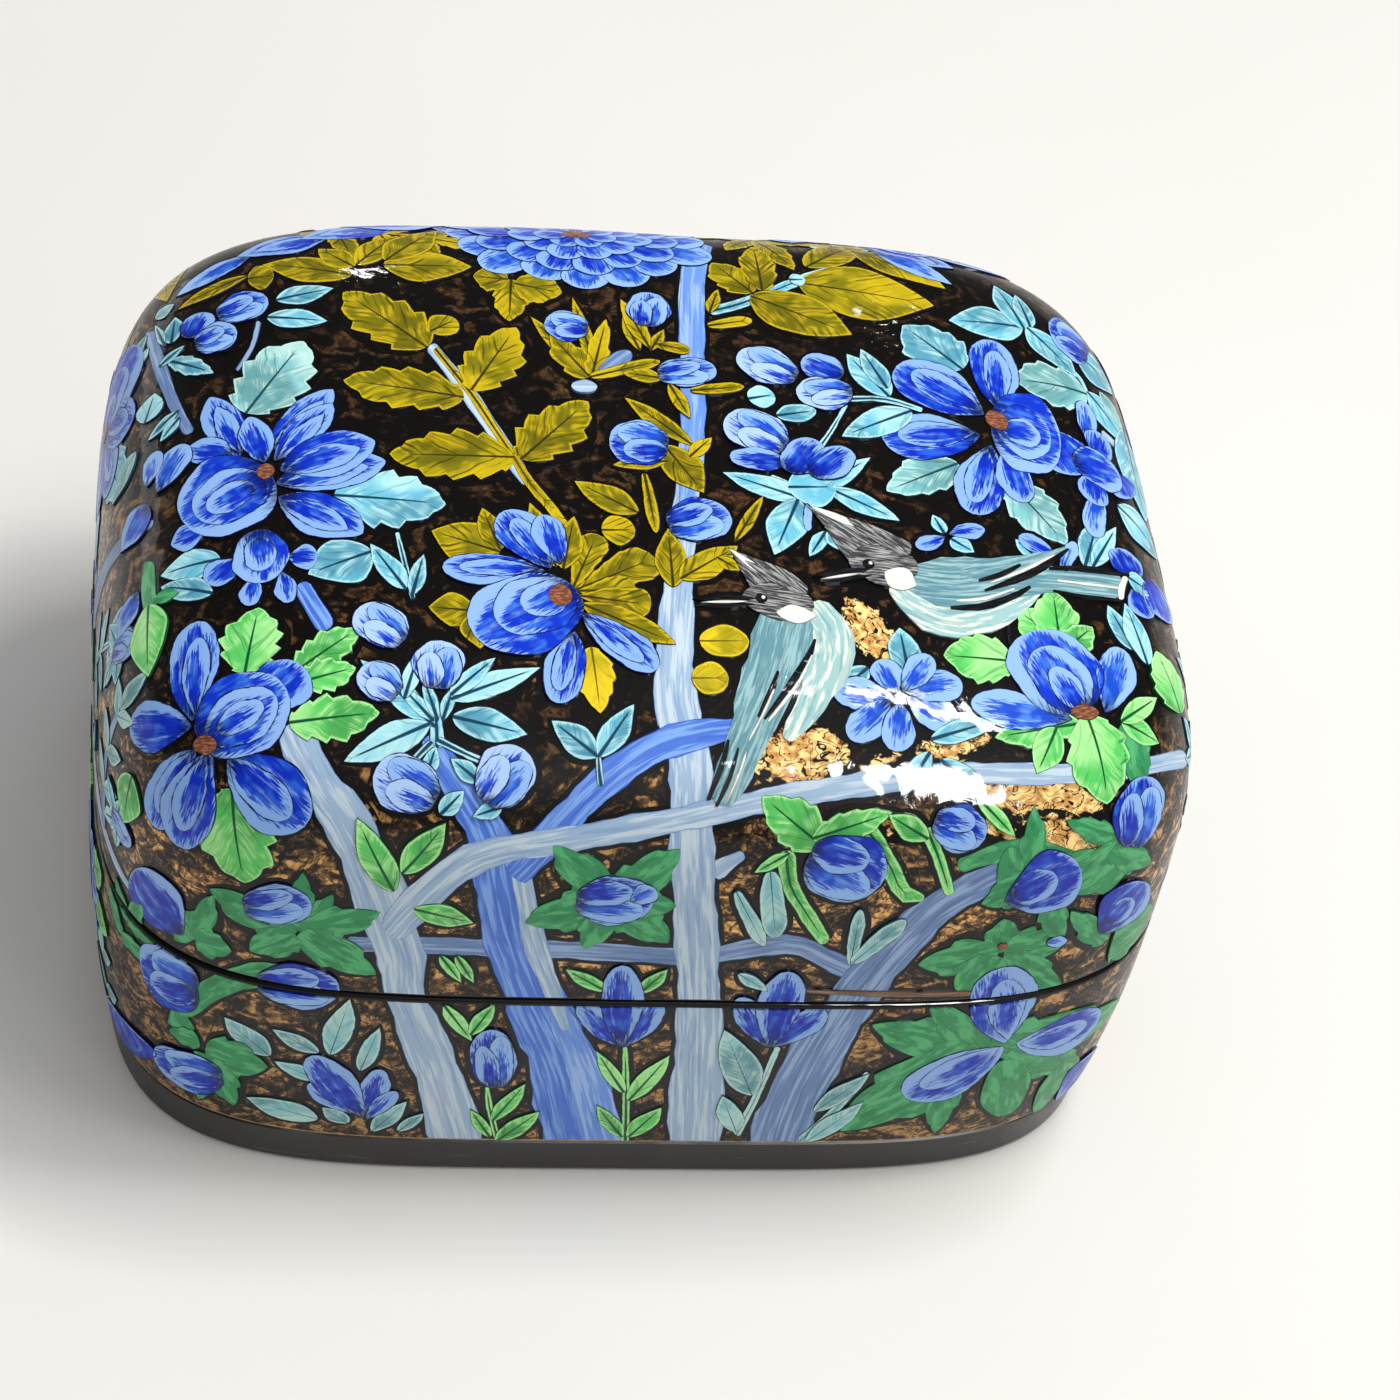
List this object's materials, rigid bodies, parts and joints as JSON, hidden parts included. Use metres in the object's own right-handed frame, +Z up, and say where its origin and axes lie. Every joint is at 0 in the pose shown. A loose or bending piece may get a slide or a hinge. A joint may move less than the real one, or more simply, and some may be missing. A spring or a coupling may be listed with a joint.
{
  "type": "papier mache box",
  "caption": "Squared pillow-shaped box with a crowned lift-off lid seated over a thin inner collar, on a flat dark foot board.",
  "frame": {"origin": "centre of the underside, on the surface that the box stands on", "axes": "+Z up through the lid, +X along the longest side, -Y towards the front"},
  "size_m": [0.152, 0.121, 0.0876],
  "materials": {
    "lid_lacquer": "polished",
    "body_lacquer": "polished",
    "collar_lacquer": "gloss",
    "foot_paint": "satin"
  },
  "bodies": {
    "box_base": {"body_shell": "body_lacquer", "locating_collar": "collar_lacquer", "bottom_board": "foot_paint"},
    "box_lid": {"lid_shell": "lid_lacquer"}
  },
  "joints": [
    {"name": "lid_lift", "type": "slide", "parent": "box_base", "child": "box_lid", "axis": [0, 0, 1], "range_m": [0, 0.1]}
  ]
}
